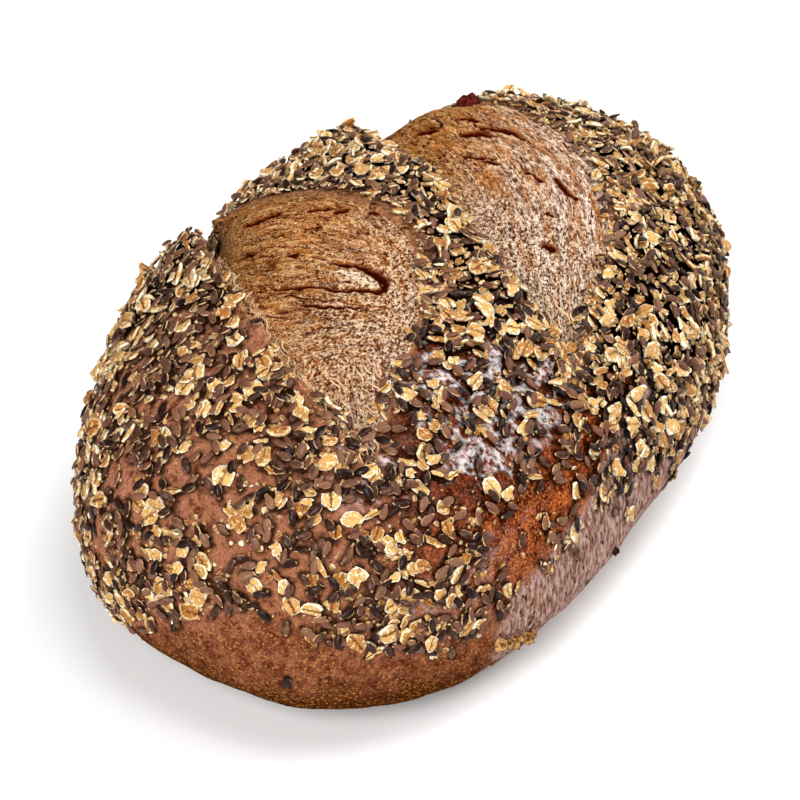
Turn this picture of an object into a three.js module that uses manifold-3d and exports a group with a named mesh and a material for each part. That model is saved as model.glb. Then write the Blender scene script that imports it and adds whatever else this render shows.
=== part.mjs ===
// Porridge bread: an oval loaf with two diagonal slashes that tore open in the oven, coated with oat flakes
// and linseeds. Millimetres, +Z up. The loaf stands on z = 0, and +X runs along it to its lower, far end.

import * as THREE from "three";
import { mergeVertices } from "three/addons/utils/BufferGeometryUtils.js";
import Module from "manifold-3d";

// The plain loaf, before its slashes
const LENGTH = 264;
const WIDTH = 167;
const HEIGHT = 96;
const BELLY_HEIGHT = 0.335; // widest level, as a share of the height
const FOOT_SPREAD = 0.67; // width on the table, as a share of the widest level
const FOOT_TURN = 1.0; // angle in radians over which the side tucks under
const PLAN_POWER = 2.17; // 2 is an ellipse seen from above, more is boxier
const CROWN_POWER = 2.4; // 2 is an elliptical crown, more is fuller
const TAPER = -0.06; // change of width towards +X
const DROP = -0.165; // change of height towards +X
const CRUST_DETAIL = 11; // each edge of the starting solid is cut this often

// Where the dough was handled and rose unevenly: a place, how far it reaches and how much it rises
const SWELLS = [
  { at: [-60, 60, 50], reach: 30, rise: -3.5 },
  { at: [70, 66, 50], reach: 32, rise: 1.5 },
  { at: [32, 54, 80], reach: 24, rise: -5.5 },
  { at: [-100, -30, 30], reach: 34, rise: 4 },
  { at: [-30, -74, 30], reach: 30, rise: -2 },
];
const SWELL_FADE = 12; // swells fade out over this height, so that the base stays flat

// The two slashes, drawn on the plan from foot to head. Each opened further to the right of its line than
// to the left. The torn face is deepest along the left edge, rises over a share of the width, and ends in
// a low step at the right edge. The crust along the left edge stands up, or rolls down, by the lip.
const SLASHES = [
  {
    foot: [-93, -31], head: [20, 84], left: 14, right: 40.5, leftPower: 0.8, rightPower: 1.1,
    flare: 0, crease: 7, rise: 0.5, step: 0.8, lip: 4.5,
  },
  {
    foot: [-25.5, -63], head: [118, 66.5], left: 12.5, right: 37, leftPower: 0.65, rightPower: 1.1,
    flare: 10, crease: 5, rise: 0.7, step: 1.8, lip: -5,
  },
];
const FLARE_STARTS = [0.45, 0.72]; // the flare widens the left side between these shares of the slash
const FLARE_ENDS = [0.8, 1]; // and narrows again between these
const SHALLOW = 1.5; // depth of the crease at the foot
const FULL_DEPTH_WIDTH = 12; // a slash is at full depth where it is at least this wide
const LIP_WIDTH = 12; // the lip runs out to nothing over this distance from the edge
const LIP_RUN_OUT = [0.82, 0.87]; // and between these shares of the slash, on the loaf's shoulder
const LIP_POWER = 1.5; // 1 gives the lip a straight fall and a straight run up, more is hollower
const SLASH_ENDS = 0.03; // share of a slash left uncut at each end, where it has no width
const SLASH_STEPS = 26; // along a slash
const SLASH_STEPS_ACROSS = 7;
const SLASH_CLEARANCE = 60; // how far the cutter stands above the torn face
const SLASH_FADES = [0.02, 0.2]; // between these upward shares of the crust's normal
const OUTLINE_SHARE = 0.995; // how far out on the plan the upper crust is followed
const LIP_STEPS_ACROSS = 2;
const LIP_ROOT = 5; // how deep the lip's own solid reaches into the crust

// Cracks that gape in the torn faces: the slash, the middle on the plan, the heading, and the size
const CRACKS = [
  { slash: 0, at: [-27.5, 3], heading: -98, length: 22, width: 5, depth: 4 },
  { slash: 0, at: [-4.5, 50], heading: -80, length: 15, width: 2.4, depth: 2.4 },
  { slash: 1, at: [74.5, 9], heading: -82, length: 24, width: 4, depth: 3 },
];
const CRACK_FACETS = [9, 6];

// The coating: flakes and linseeds stuck on no closer than the spacing, the largest first
const SPACING = 14;
const FLAKE_SHARE = 0.57; // the rest are linseeds
const TRIES = 12000; // enough to leave no gap that would take one more
const COATING_LIMIT = 50; // height of the coating's lower edge at the -X end
const COATING_FALL = 0.13; // fall of that edge for each millimetre towards +X
const SLASH_MARGIN = 4; // no grain's middle lies closer than this to a torn face
const FLAKE = { length: 6.8, width: 5.6, thickness: 2.4, sides: 6, bevel: 0.66 };
const LINSEED = { length: 5.6, width: 3.0, thickness: 2.4, facets: [5, 3] };
const LARGEST = 1.18; // sizes run between these shares, in the order of placing
const SMALLEST = 0.84;
const GRAIN_STAND = 0.15; // share of the thickness that a grain's middle stands above the crust
const LEAST_HELD = 0.03; // a grain with a smaller share of it in the crust falls off
const RANDOM_START = 20261;

const UP = new THREE.Vector3(0, 0, 1);
const LENGTHWAYS = new THREE.Vector3(1, 0, 0);
const NEARLY_UPRIGHT = 0.9; // a direction this steep is crossed with another one than up
const NORMAL_STEP = 0.001; // how far to each side a normal looks, for a direction of length 1
const WELD = 0.0001; // vertices this close become one

const CRUST = new THREE.MeshStandardMaterial({ color: 0x8a5030, roughness: 0.6, metalness: 0 });

const wasm = await Module();
wasm.setup();

function smooth(from, to, value) {
  return THREE.MathUtils.smoothstep(value, from, to);
}

// The point of the plain loaf that lies in a direction from its middle
function plainPoint(direction) {
  const d = direction.clone().normalize();
  const around = Math.atan2(d.y, d.x);
  const rise = Math.asin(THREE.MathUtils.clamp(d.z, -1, 1));
  const cos = Math.abs(Math.cos(around));
  const sin = Math.abs(Math.sin(around));
  const plan = (cos ** PLAN_POWER + sin ** PLAN_POWER) ** (-1 / PLAN_POWER);
  let spread;
  let level;
  if (rise >= 0) {
    spread = Math.cos(rise) ** (2 / CROWN_POWER);
    level = BELLY_HEIGHT + (1 - BELLY_HEIGHT) * Math.sin(rise) ** (2 / CROWN_POWER);
  } else if (rise >= -FOOT_TURN) {
    const tuck = (Math.cos(rise) - Math.cos(FOOT_TURN)) / (1 - Math.cos(FOOT_TURN));
    spread = FOOT_SPREAD + (1 - FOOT_SPREAD) * tuck;
    level = BELLY_HEIGHT * (1 + Math.sin(rise) / Math.sin(FOOT_TURN));
  } else {
    spread = (FOOT_SPREAD * (Math.PI / 2 + rise)) / (Math.PI / 2 - FOOT_TURN);
    level = 0;
  }
  const x = (LENGTH / 2) * plan * Math.cos(around) * spread;
  const along = x / (LENGTH / 2);
  const y = (WIDTH / 2) * plan * Math.sin(around) * spread * (1 + TAPER * along);
  return new THREE.Vector3(x, y, HEIGHT * level * (1 + DROP * along));
}

// The outward normal of the plain loaf in a direction, from two short steps to each side
function plainNormal(direction) {
  const d = direction.clone().normalize();
  const helper = Math.abs(d.z) < NEARLY_UPRIGHT ? UP : LENGTHWAYS;
  const across = new THREE.Vector3().crossVectors(d, helper).normalize();
  const up = new THREE.Vector3().crossVectors(d, across);
  const change = (way) => {
    const ahead = plainPoint(d.clone().addScaledVector(way, NORMAL_STEP));
    return ahead.sub(plainPoint(d.clone().addScaledVector(way, -NORMAL_STEP)));
  };
  const normal = change(across).cross(change(up)).normalize();
  return normal.dot(d) < 0 ? normal.negate() : normal;
}

// How far the swells push the crust out at a point
function swellAt(point) {
  let rise = 0;
  for (const swell of SWELLS) {
    const distance = point.distanceTo(new THREE.Vector3(...swell.at));
    rise += swell.rise * Math.exp(-(distance ** 2) / (2 * swell.reach ** 2));
  }
  return rise * smooth(0, SWELL_FADE, point.z);
}

// The crust, with its swells, and how far above it the point lies
function crustPoint(direction, above = 0) {
  const point = plainPoint(direction);
  const rise = swellAt(point) + above;
  return point.addScaledVector(plainNormal(direction), rise);
}

// How far out a place on the plan lies: 0 in the middle of the loaf, 1 on its widest outline
function planShare(x, y) {
  const along = x / (LENGTH / 2);
  const out = y / ((WIDTH / 2) * (1 + TAPER * along));
  const share = (Math.abs(along) ** PLAN_POWER + Math.abs(out) ** PLAN_POWER) ** (1 / PLAN_POWER);
  return { share, around: Math.atan2(out, along) };
}

// The direction from the middle in which the upper crust covers a place on the plan
function directionOver(x, y) {
  const { share, around } = planShare(x, y);
  const rise = Math.acos(share ** (CROWN_POWER / 2));
  const level = Math.cos(rise);
  return new THREE.Vector3(level * Math.cos(around), level * Math.sin(around), Math.sin(rise));
}

// A slash's line on the plan: where it starts, its two directions and its length
function slashLine(slash) {
  const foot = new THREE.Vector2(...slash.foot);
  const along = new THREE.Vector2(...slash.head).sub(foot);
  const length = along.length();
  along.divideScalar(length);
  const right = new THREE.Vector2(along.y, -along.x);
  return { foot, along, right, length };
}

// Where a point lies on a slash: its share of the length, and its distance to the right of the line
function placeOnSlash(slash, point) {
  const line = slashLine(slash);
  const away = new THREE.Vector2(point.x, point.y).sub(line.foot);
  const share = THREE.MathUtils.clamp(away.dot(line.along) / line.length, 0, 1);
  return { share, offset: away.dot(line.right) };
}

// The widths of a slash to the left and right of its line, at a share of its length
function slashWidths(slash, share) {
  const arch = Math.sin(Math.PI * share);
  const flare = smooth(...FLARE_STARTS, share) * (1 - smooth(...FLARE_ENDS, share));
  return {
    left: slash.left * arch ** slash.leftPower + slash.flare * flare,
    right: slash.right * arch ** slash.rightPower,
  };
}

// How much of its full depth a slash has where it is this wide
function slashFullness(widths) {
  return smooth(0, FULL_DEPTH_WIDTH, widths.left + widths.right);
}

// Depth of the torn face at a share of the slash and a share of its width from the left edge
function tornDepth(slash, share, across) {
  const crease = (slash.crease * share + SHALLOW) * (1 - smooth(0, slash.rise, across));
  return (crease + slash.step) * slashFullness(slashWidths(slash, share));
}

// How much of a slash's relief is left at a point of the crust: it runs out on the steep sides
function upperSide(direction) {
  return smooth(...SLASH_FADES, plainNormal(direction).z);
}

// Height of the crust's lip at a share of a slash and a distance from its left edge
function lipHeight(slash, share, distance) {
  const fall = Math.max(1 - distance / LIP_WIDTH, 0) ** LIP_POWER;
  const end = slash.lip > 0 ? 1 - smooth(...LIP_RUN_OUT, share) : 1;
  return slash.lip * share ** LIP_POWER * slashFullness(slashWidths(slash, share)) * fall * end;
}

// The point at a share of a slash and a distance to the right of its line, at a height above the crust.
// Past the loaf's outline it lies level with the widest part, in the open air.
function slashPoint(slash, share, offset, above) {
  const line = slashLine(slash);
  const place = line.foot.clone();
  place.addScaledVector(line.along, line.length * share);
  place.addScaledVector(line.right, offset);
  if (planShare(place.x, place.y).share > OUTLINE_SHARE) {
    return new THREE.Vector3(place.x, place.y, HEIGHT * BELLY_HEIGHT);
  }
  const direction = directionOver(place.x, place.y);
  return crustPoint(direction, above * upperSide(direction));
}

// Turns a closed geometry into a solid that can be joined and cut
function solidOf(geometry) {
  geometry.deleteAttribute("normal");
  geometry.deleteAttribute("uv");
  const merged = mergeVertices(geometry, WELD);
  const mesh = new wasm.Mesh({
    numProp: 3,
    vertProperties: new Float32Array(merged.attributes.position.array),
    triVerts: new Uint32Array(merged.index.array),
  });
  return new wasm.Manifold(mesh);
}

function geometryOf(solid) {
  const mesh = solid.getMesh();
  const geometry = new THREE.BufferGeometry();
  geometry.setAttribute("position", new THREE.BufferAttribute(mesh.vertProperties, 3));
  geometry.setIndex(new THREE.BufferAttribute(mesh.triVerts, 1));
  geometry.computeVertexNormals();
  return geometry;
}

// Moves every vertex of a geometry by a rule
function reshape(geometry, rule) {
  const positions = geometry.attributes.position;
  const vertex = new THREE.Vector3();
  for (let index = 0; index < positions.count; index += 1) {
    vertex.fromBufferAttribute(positions, index);
    const moved = rule(vertex);
    positions.setXYZ(index, moved.x, moved.y, moved.z);
  }
  return geometry;
}

// How far the crust rolls down towards the slashes in a direction from the middle
function rolledLip(direction) {
  const point = plainPoint(direction);
  let height = 0;
  for (const slash of SLASHES.filter((one) => one.lip < 0)) {
    const { share, offset } = placeOnSlash(slash, point);
    const distance = -offset - slashWidths(slash, share).left;
    if (distance > -LIP_WIDTH) {
      height += lipHeight(slash, share, Math.max(distance, 0));
    }
  }
  return height * upperSide(direction);
}

function loafSolid() {
  const ball = new THREE.IcosahedronGeometry(1, CRUST_DETAIL);
  return solidOf(reshape(ball, (direction) => crustPoint(direction, rolledLip(direction))));
}

// What a slash takes away: everything over its torn face
function slashCutter(slash) {
  const block = new THREE.BoxGeometry(1, 1, 1, SLASH_STEPS, SLASH_STEPS_ACROSS, 1);
  return solidOf(
    reshape(block, (corner) => {
      const share = THREE.MathUtils.lerp(SLASH_ENDS, 1 - SLASH_ENDS, corner.x + 0.5);
      const across = 0.5 - corner.y;
      const widths = slashWidths(slash, share);
      const offset = THREE.MathUtils.lerp(-widths.left, widths.right, across);
      const point = slashPoint(slash, share, offset, -tornDepth(slash, share, across));
      point.z += corner.z > 0 ? SLASH_CLEARANCE : 0;
      return point;
    }),
  );
}

// The crust that stands up along a slash's left edge
function lipSolid(slash) {
  const block = new THREE.BoxGeometry(1, 1, 1, SLASH_STEPS, LIP_STEPS_ACROSS, 1);
  return solidOf(
    reshape(block, (corner) => {
      const share = THREE.MathUtils.lerp(SLASH_ENDS, LIP_RUN_OUT[1], corner.x + 0.5);
      const distance = LIP_WIDTH * (corner.y + 0.5);
      const offset = -slashWidths(slash, share).left - distance;
      const above = corner.z > 0 ? lipHeight(slash, share, distance) : -LIP_ROOT;
      return slashPoint(slash, share, offset, above);
    }),
  );
}

// A flake is a thin six-sided plate with a bevelled top
function flakeGeometry(size) {
  const plate = new THREE.CylinderGeometry(FLAKE.bevel / 2, 0.5, 1, FLAKE.sides, 1);
  plate.rotateX(Math.PI / 2);
  plate.scale(FLAKE.length * size, FLAKE.width * size, FLAKE.thickness * size);
  return plate;
}

// A linseed is a flattened oval with two points
function linseedGeometry(size) {
  const oval = new THREE.SphereGeometry(0.5, ...LINSEED.facets);
  oval.rotateZ(Math.PI / 2);
  oval.scale(LINSEED.length * size, LINSEED.width * size, LINSEED.thickness * size);
  return oval;
}

// True where the crust is coated: on the upper side, and clear of the torn faces
function isCoated(point) {
  if (point.z < COATING_LIMIT - COATING_FALL * (point.x + LENGTH / 2)) {
    return false;
  }
  return SLASHES.every((slash) => {
    const { share, offset } = placeOnSlash(slash, point);
    const widths = slashWidths(slash, share);
    return offset < -widths.left - SLASH_MARGIN || offset > widths.right + SLASH_MARGIN;
  });
}

// Evenly spread places on the coated crust, each with the direction it lies in
function coatedPlaces() {
  const places = [];
  for (let attempt = 0; attempt < TRIES; attempt += 1) {
    const level = THREE.MathUtils.seededRandom();
    const around = THREE.MathUtils.seededRandom() * 2 * Math.PI;
    const ring = Math.sqrt(1 - level * level);
    const direction = new THREE.Vector3(ring * Math.cos(around), ring * Math.sin(around), level);
    const point = crustPoint(direction, rolledLip(direction));
    const isClear = places.every((place) => place.point.distanceTo(point) > SPACING);
    if (isClear && isCoated(point)) {
      places.push({ point, direction });
    }
  }
  return places;
}

// The coating's grains, flakes first. The start makes it come out the same each time.
function coating() {
  THREE.MathUtils.seededRandom(RANDOM_START);
  const places = coatedPlaces();
  return places.map(({ point, direction }, order) => {
    const size = THREE.MathUtils.lerp(LARGEST, SMALLEST, order / places.length);
    const isFlake = order < FLAKE_SHARE * places.length;
    const grain = isFlake ? flakeGeometry(size) : linseedGeometry(size);
    const thickness = size * (isFlake ? FLAKE : LINSEED).thickness;
    const normal = plainNormal(direction);
    grain.rotateZ(THREE.MathUtils.seededRandom() * Math.PI);
    grain.applyQuaternion(new THREE.Quaternion().setFromUnitVectors(UP, normal));
    point.addScaledVector(normal, thickness * GRAIN_STAND);
    grain.translate(point.x, point.y, point.z);
    return solidOf(grain);
  });
}

// What a crack takes away: a long oval pit in the torn face
function crackCutter(crack) {
  const slash = SLASHES[crack.slash];
  const { share, offset } = placeOnSlash(slash, new THREE.Vector3(...crack.at, 0));
  const widths = slashWidths(slash, share);
  const across = (offset + widths.left) / (widths.left + widths.right);
  const middle = slashPoint(slash, share, offset, -tornDepth(slash, share, across));
  const normal = plainNormal(directionOver(...crack.at));
  const pit = new THREE.SphereGeometry(0.5, ...CRACK_FACETS);
  pit.rotateZ(Math.PI / 2);
  pit.scale(crack.length, crack.width, crack.depth * 2);
  pit.rotateZ(THREE.MathUtils.degToRad(crack.heading));
  pit.applyQuaternion(new THREE.Quaternion().setFromUnitVectors(UP, normal));
  pit.translate(middle.x, middle.y, middle.z);
  return solidOf(pit);
}

function buildLoaf() {
  let loaf = loafSolid();
  for (const slash of SLASHES.filter((one) => one.lip > 0)) {
    loaf = loaf.add(lipSolid(slash));
  }
  for (const slash of SLASHES) {
    loaf = loaf.subtract(slashCutter(slash));
  }
  for (const crack of CRACKS) {
    loaf = loaf.subtract(crackCutter(crack));
  }
  for (const grain of coating()) {
    if (loaf.intersect(grain).volume() > LEAST_HELD * grain.volume()) {
      loaf = loaf.add(grain);
    }
  }
  return loaf;
}

const loaf = new THREE.Mesh(geometryOf(buildLoaf()), CRUST);
loaf.name = "loaf";

const bread = new THREE.Group();
bread.add(loaf);

export default bread;
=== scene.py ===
import math
import random

import bmesh
import bpy
import numpy as np
from mathutils import Matrix, Vector, kdtree, noise


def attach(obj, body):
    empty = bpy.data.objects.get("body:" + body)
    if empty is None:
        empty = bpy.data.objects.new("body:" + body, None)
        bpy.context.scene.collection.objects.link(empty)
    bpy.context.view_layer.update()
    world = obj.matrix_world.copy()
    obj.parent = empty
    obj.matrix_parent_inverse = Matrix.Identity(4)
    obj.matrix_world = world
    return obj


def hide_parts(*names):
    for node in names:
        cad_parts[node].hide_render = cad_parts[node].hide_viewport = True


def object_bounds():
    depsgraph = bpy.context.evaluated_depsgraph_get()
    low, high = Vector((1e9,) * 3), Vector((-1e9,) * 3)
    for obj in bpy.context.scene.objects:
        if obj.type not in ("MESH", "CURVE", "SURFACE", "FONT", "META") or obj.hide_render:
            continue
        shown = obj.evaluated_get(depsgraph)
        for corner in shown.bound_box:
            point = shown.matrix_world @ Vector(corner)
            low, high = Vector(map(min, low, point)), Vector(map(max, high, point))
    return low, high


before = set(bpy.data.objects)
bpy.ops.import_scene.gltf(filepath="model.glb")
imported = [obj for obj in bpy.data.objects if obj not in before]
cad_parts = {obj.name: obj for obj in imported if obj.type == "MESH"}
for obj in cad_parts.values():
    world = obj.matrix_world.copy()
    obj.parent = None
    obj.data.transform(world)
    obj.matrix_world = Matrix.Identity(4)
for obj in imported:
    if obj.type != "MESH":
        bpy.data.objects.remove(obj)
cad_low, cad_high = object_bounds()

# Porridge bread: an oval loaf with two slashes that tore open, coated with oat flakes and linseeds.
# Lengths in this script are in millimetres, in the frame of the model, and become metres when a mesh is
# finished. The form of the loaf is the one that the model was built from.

METRES = 0.001  # one millimetre

# The plain loaf, before its slashes
LENGTH = 264
WIDTH = 167
HEIGHT = 96
BELLY_HEIGHT = 0.335  # widest level, as a share of the height
FOOT_SPREAD = 0.67  # width on the table, as a share of the widest level
FOOT_TURN = 1.0  # angle in radians over which the side tucks under
PLAN_POWER = 2.17
CROWN_POWER = 2.4
TAPER = -0.06  # change of width towards +X
DROP = -0.165  # change of height towards +X
SWELLS = [  # a place, how far it reaches and how much it rises
    ((-60, 60, 50), 30, -3.5),
    ((70, 66, 50), 32, 1.5),
    ((32, 54, 80), 24, -5.5),
    ((-100, -30, 30), 34, 4),
    ((-30, -74, 30), 30, -2),
]
SWELL_FADE = 12

# The slashes
SLASH_STEEP = (0.02, 0.2)  # a slash fades out between these upward shares of the crust's normal
FLARE = (0.45, 0.72)  # shares of the length over which the left side flares out
FLARE_END = (0.8, 1)
SHALLOW = 1.5  # depth of the crease at the foot
STEP_EASE = 0.6  # share of the step that eases off at the right edge
FULL_DEPTH_WIDTH = 12  # a slash as wide as this has its full depth
LIP_WIDTH = 12
LIP_POWER = 1.5
LIP_RUN_OUT = (0.82, 0.87)  # shares of the length over which an upright lip runs out
OUTLINE_SHARE = 0.995  # places on the plan are held inside this share of the outline
LEAST_WIDTH = 1e-6


class Slash:
    """A cut on the plan from foot to head, opened by different widths to its left and right."""

    def __init__(self, foot, head, **form):
        vars(self).update(form)
        self.foot = np.array(foot, float)
        self.along = np.array(head, float) - self.foot
        self.length = np.linalg.norm(self.along)
        self.along /= self.length
        self.right = np.array([self.along[1], -self.along[0]])

    def widths(self, share):
        arch = np.sin(np.pi * np.clip(share, 0, 1))
        flare = self.flare * smooth(*FLARE, share) * (1 - smooth(*FLARE_END, share))
        return self.left_width * arch**self.left_power + flare, self.right_width * arch**self.right_power

    def fullness(self, share):
        left, right = self.widths(share)
        return smooth(0, FULL_DEPTH_WIDTH, left + right)

    def across(self, share, offset):
        """0 at the left edge of the torn face, 1 at its right edge."""
        left, right = self.widths(share)
        return np.clip((offset + left) / np.maximum(left + right, LEAST_WIDTH), 0, 1)

    def torn_depth(self, share, across):
        crease = (self.crease * share + SHALLOW) * (1 - smooth(0, self.rise, across))
        return (crease + self.step * (1 - STEP_EASE * smooth(0.8, 1, across))) * self.fullness(share)

    def lip_height(self, share, distance):
        """Height of the crust's lip at a distance from the left edge: upright, or rolled down."""
        fall = np.clip(1 - distance / LIP_WIDTH, 0, 1) ** LIP_POWER
        end = 1 - smooth(*LIP_RUN_OUT, share) if self.lip > 0 else 1
        return self.lip * np.clip(share, 0, 1) ** LIP_POWER * self.fullness(share) * fall * end

    def place(self, points):
        """Share of the length, and distance to the right of the line, for points of the loaf."""
        away = points[:, :2] - self.foot
        return away @ self.along / self.length, away @ self.right

    def plan(self, share, offset):
        """The places on the plan with this share of the length and distance to the right."""
        return self.foot + np.outer(share * self.length, self.along) + offset[:, None] * self.right

    def outside(self, share, offset):
        """Distance outside the nearer edge, negative in the torn face."""
        left, right = self.widths(share)
        beyond_ends = np.maximum(-share, share - 1) * self.length
        return np.maximum(np.maximum(-offset - left, offset - right), beyond_ends)

    def distance(self, points):
        """The same for points of the loaf."""
        return self.outside(*self.place(points))


def smooth(low, high, value):
    """0 at low, 1 at high, and an S-shaped rise between them."""
    step = np.clip((value - low) / (high - low), 0, 1)
    return step * step * (3 - 2 * step)


def unit(vectors):
    return vectors / np.linalg.norm(vectors, axis=-1, keepdims=True)


def distances(points, place):
    """How far points lie from a place."""
    return np.linalg.norm(points - np.array(place), axis=1)


def noise_at(points, size, seed=0):
    """Smooth noise between about -1 and 1, with features of this size, at points in millimetres."""
    shift = np.array([17.3, 5.1, 9.7]) * seed
    return np.array([noise.noise(Vector(place)) for place in points / size + shift])


def plain_points(directions):
    """The points of the plain loaf that lie in these unit directions from its middle."""
    around = np.arctan2(directions[:, 1], directions[:, 0])
    rise = np.arcsin(np.clip(directions[:, 2], -1, 1))
    plan = (np.abs(np.cos(around)) ** PLAN_POWER + np.abs(np.sin(around)) ** PLAN_POWER) ** (-1 / PLAN_POWER)
    lifted = np.clip(rise, 0, None)
    tucked = np.clip(rise, -FOOT_TURN, 0)
    upper_spread = np.clip(np.cos(lifted), 0, 1) ** (2 / CROWN_POWER)
    upper_level = BELLY_HEIGHT + (1 - BELLY_HEIGHT) * np.sin(lifted) ** (2 / CROWN_POWER)
    tuck = (np.cos(tucked) - math.cos(FOOT_TURN)) / (1 - math.cos(FOOT_TURN))
    lower_spread = FOOT_SPREAD + (1 - FOOT_SPREAD) * tuck
    lower_level = BELLY_HEIGHT * (1 + np.sin(tucked) / math.sin(FOOT_TURN))
    base_spread = FOOT_SPREAD * (math.pi / 2 + rise) / (math.pi / 2 - FOOT_TURN)
    on_base = rise < -FOOT_TURN
    spread = np.where(rise >= 0, upper_spread, np.where(on_base, base_spread, lower_spread))
    level = np.where(rise >= 0, upper_level, np.where(on_base, 0, lower_level))
    x = LENGTH / 2 * plan * np.cos(around) * spread
    along = x / (LENGTH / 2)
    y = WIDTH / 2 * plan * np.sin(around) * spread * (1 + TAPER * along)
    return np.column_stack([x, y, HEIGHT * level * (1 + DROP * along)])


def plain_normals(directions):
    """Outward normals of the plain loaf, from a short step to each side."""
    upright = np.abs(directions[:, 2:]) < 0.9
    helper = np.where(upright, [[0.0, 0, 1]], [[1.0, 0, 0]])
    across = unit(np.cross(directions, helper))
    up = np.cross(directions, across)
    step = 1e-3

    def change(way):
        return plain_points(unit(directions + step * way)) - plain_points(unit(directions - step * way))

    normals = unit(np.cross(change(across), change(up)))
    inward = np.sum(normals * directions, axis=1) < 0
    normals[inward] *= -1
    return normals


def crust_points(directions, above=0):
    """Points of the crust with its swells, and this far above it, with the normals there."""
    points = plain_points(directions)
    normals = plain_normals(directions)
    rise = np.zeros(len(points))
    for place, reach, height in SWELLS:
        rise += height * np.exp(-(distances(points, place) ** 2) / (2 * reach**2))
    rise *= smooth(0, SWELL_FADE, points[:, 2])
    return points + normals * (rise + above)[:, None], normals


def directions_over(plan):
    """Directions from the middle in which the upper crust covers places on the plan."""
    along = plan[:, 0] / (LENGTH / 2)
    out = plan[:, 1] / (WIDTH / 2 * (1 + TAPER * along))
    share = (np.abs(along) ** PLAN_POWER + np.abs(out) ** PLAN_POWER) ** (1 / PLAN_POWER)
    around = np.arctan2(out, along)
    rise = np.arccos(np.clip(share, 0, OUTLINE_SHARE) ** (CROWN_POWER / 2))
    return np.column_stack([np.cos(rise) * np.cos(around), np.cos(rise) * np.sin(around), np.sin(rise)])


# Each slash: its foot and head on the plan, how far it opens to its left and right and how bluntly, how far
# it flares, the depth of its crease and the share of its width over which its face rises out of it, the step
# at its edges and the height of its left lip
SLASHES = [
    Slash(
        foot=(-93, -31), head=(20, 84), left_width=14, right_width=40.5, left_power=0.8, right_power=1.1,
        flare=0, crease=7, rise=0.5, step=0.8, lip=4.5,
    ),
    Slash(
        foot=(-25.5, -63), head=(118, 66.5), left_width=12.5, right_width=37, left_power=0.65,
        right_power=1.1, flare=10, crease=5, rise=0.7, step=1.8, lip=-5,
    ),
]

# Meshes


def positions(mesh):
    """A mesh's vertices as an array."""
    flat = np.empty(len(mesh.vertices) * 3)
    mesh.vertices.foreach_get("co", flat)
    return flat.reshape(-1, 3)


def mesh_from(name, bm):
    mesh = bpy.data.meshes.new(name)
    bm.to_mesh(mesh)
    bm.free()
    return mesh


def store(mesh, name, values):
    """Keeps four numbers for each vertex, which the finishes read."""
    layer = mesh.attributes.new(name, "FLOAT_COLOR", "POINT")
    layer.data.foreach_set("color", np.clip(values, 0, 1).astype(np.float32).ravel())


def tree_of(places):
    """A tree that finds the nearest of these places."""
    tree = kdtree.KDTree(len(places))
    for index, place in enumerate(places):
        tree.insert(place, index)
    tree.balance()
    return tree


def add_object(name, data):
    thing = bpy.data.objects.new(name, data)
    bpy.context.scene.collection.objects.link(thing)
    return thing


def add_piece(name, mesh, points, finish, slot):
    """Makes a piece of the loaf from a mesh and its vertices in millimetres."""
    mesh.vertices.foreach_set("co", (points * METRES).ravel())
    mesh.update()
    for face in mesh.polygons:
        face.use_smooth = True
    mesh.materials.append(finish)
    piece = add_object(name, mesh)
    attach(piece, "root")
    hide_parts("loaf")


# Finishes

FIRST_SLASH_FADE = (0.045, 0.02)  # metres along X over which torn crumb turns to that of the first slash
# Dark and light tones of the lumps, from the darkest lump to the palest
LUMP_TONES = (
    ((24, 10, 6), (50, 12, 6), (88, 50, 22), (170, 130, 90)),
    ((52, 28, 18), (108, 30, 14), (186, 144, 88), (240, 226, 200)),
)


class Link:
    """An output of a shader node. Arithmetic on it adds Math nodes."""

    def __init__(self, finish, socket):
        self.finish = finish
        self.socket = socket

    def math(self, operation, *values):
        return self.finish.node("ShaderNodeMath", {"operation": operation}, dict(enumerate(values)))

    def absolute(self):
        return self.math("ABSOLUTE", self)

    def fraction(self):
        return self.math("FRACT", self)

    def __add__(self, other):
        return self.math("ADD", self, other)

    def __sub__(self, other):
        return self.math("SUBTRACT", self, other)

    def __rsub__(self, other):
        return self.math("SUBTRACT", other, self)

    def __mul__(self, other):
        return self.math("MULTIPLY", self, other)

    def __pow__(self, other):
        return self.math("POWER", self, other)

    __radd__ = __add__

    def between(self, low, high):
        """0 below low, 1 above high, and smooth between them."""
        settings = {"interpolation_type": "SMOOTHSTEP"}
        sockets = {"Value": self, "From Min": low, "From Max": high}
        return self.finish.node("ShaderNodeMapRange", settings, sockets)


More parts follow.
